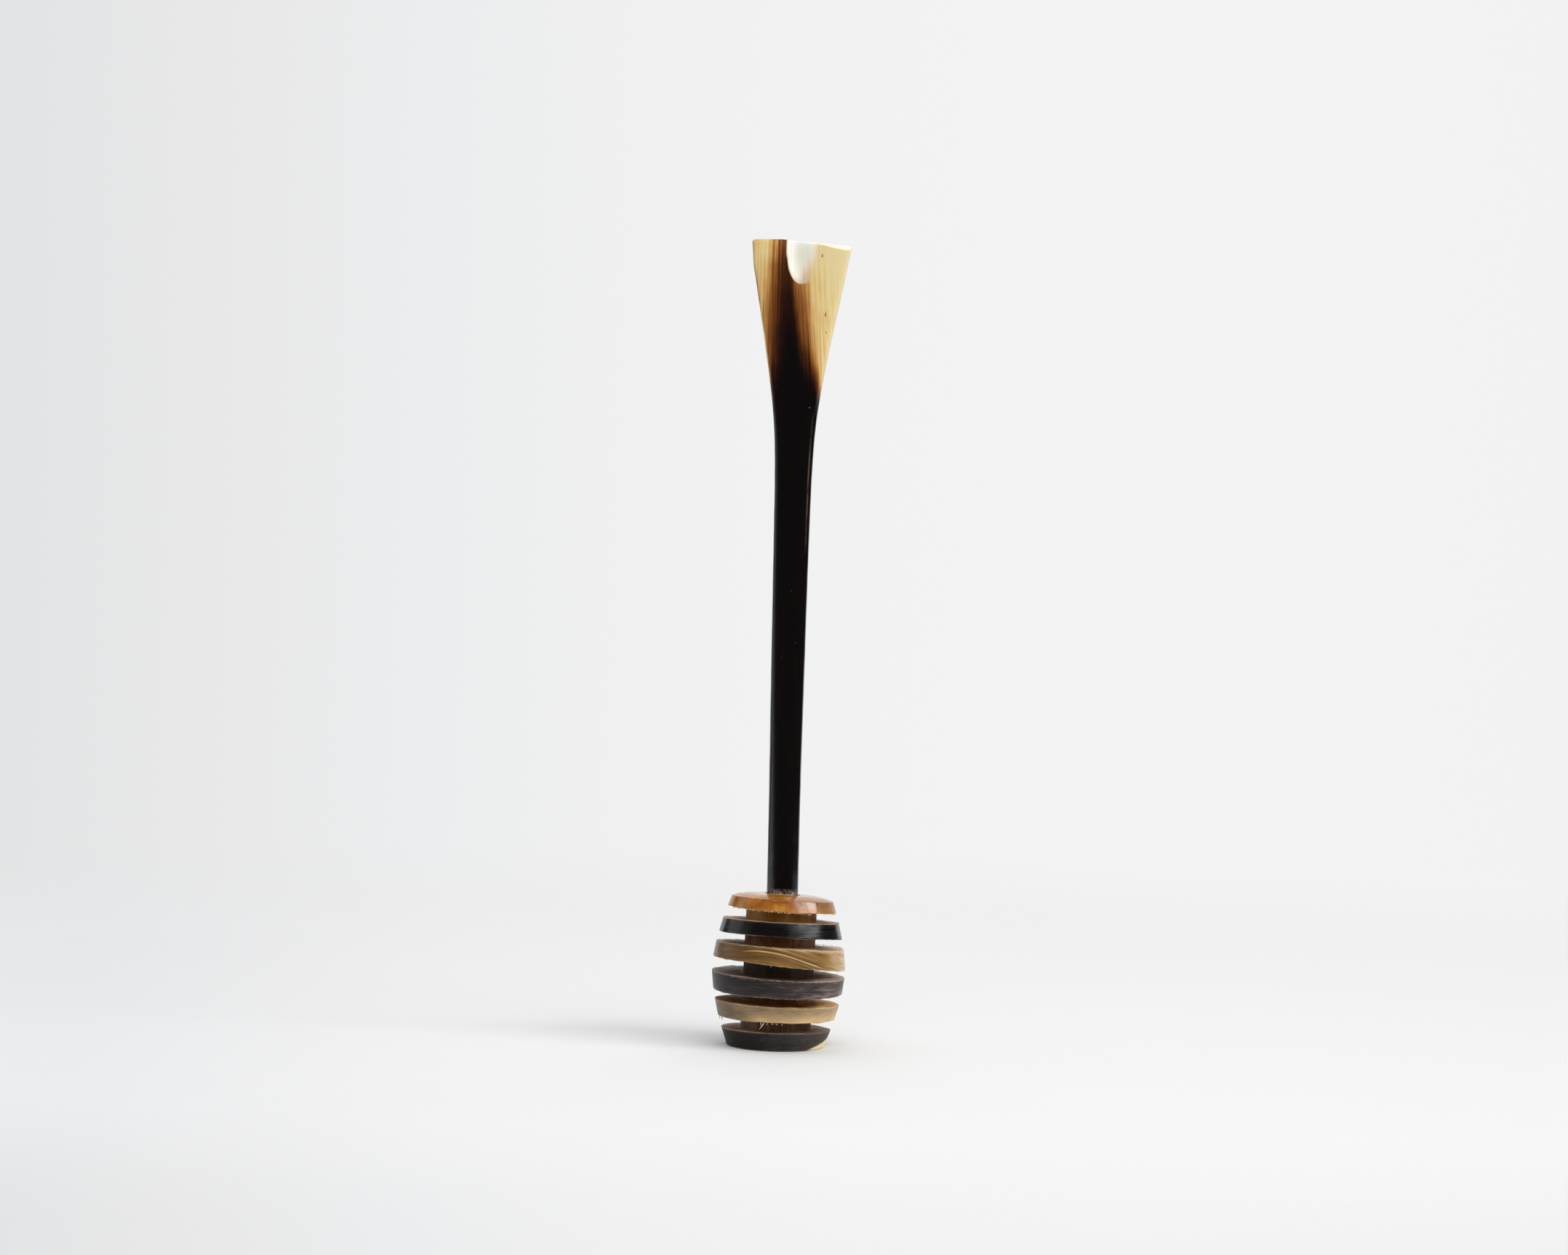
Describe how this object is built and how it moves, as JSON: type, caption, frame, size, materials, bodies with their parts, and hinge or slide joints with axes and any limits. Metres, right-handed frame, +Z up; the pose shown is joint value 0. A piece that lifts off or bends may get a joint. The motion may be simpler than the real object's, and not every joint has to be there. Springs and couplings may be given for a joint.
{
  "type": "honey dipper",
  "caption": "Honey dipper with a grooved barrel head of stacked horn discs, on a slim horn handle that flares to a flat paddle with a small scoop.",
  "frame": {"origin": "middle of the flat face that the dipper stands on, under the widest part of the barrel", "axes": "+Z up along the handle, -Y out of the handle's flat front face with the scoop, +X to the right of it"},
  "size_m": [0.0274, 0.0274, 0.1658],
  "materials": {
    "horn_handle": "polished, near black, running to honey and cream at the paddle",
    "horn_amber": "polished, translucent amber",
    "horn_black": "polished, black",
    "horn_olive": "satin, tan with growth lines",
    "horn_charcoal": "dull, dark grey-brown with turning scratches",
    "horn_tan": "dull, tan",
    "horn_foot": "dull, charcoal with a cream patch",
    "horn_core_gold": "sawn, golden brown",
    "horn_core_red": "sawn, reddish brown",
    "horn_core_dark": "sawn, very dark brown",
    "horn_core_amber": "sawn, amber brown",
    "horn_core_brown": "sawn, brown"
  },
  "bodies": {
    "root": {"handle": "horn_handle", "top_disc": "horn_amber", "spacer_5": "horn_core_gold", "shoulder_disc": "horn_black", "spacer_4": "horn_core_red", "middle_disc": "horn_olive", "spacer_3": "horn_core_dark", "belly_disc": "horn_charcoal", "spacer_2": "horn_core_amber", "lower_disc": "horn_tan", "spacer_1": "horn_core_brown", "foot_disc": "horn_foot"}
  },
  "joints": []
}
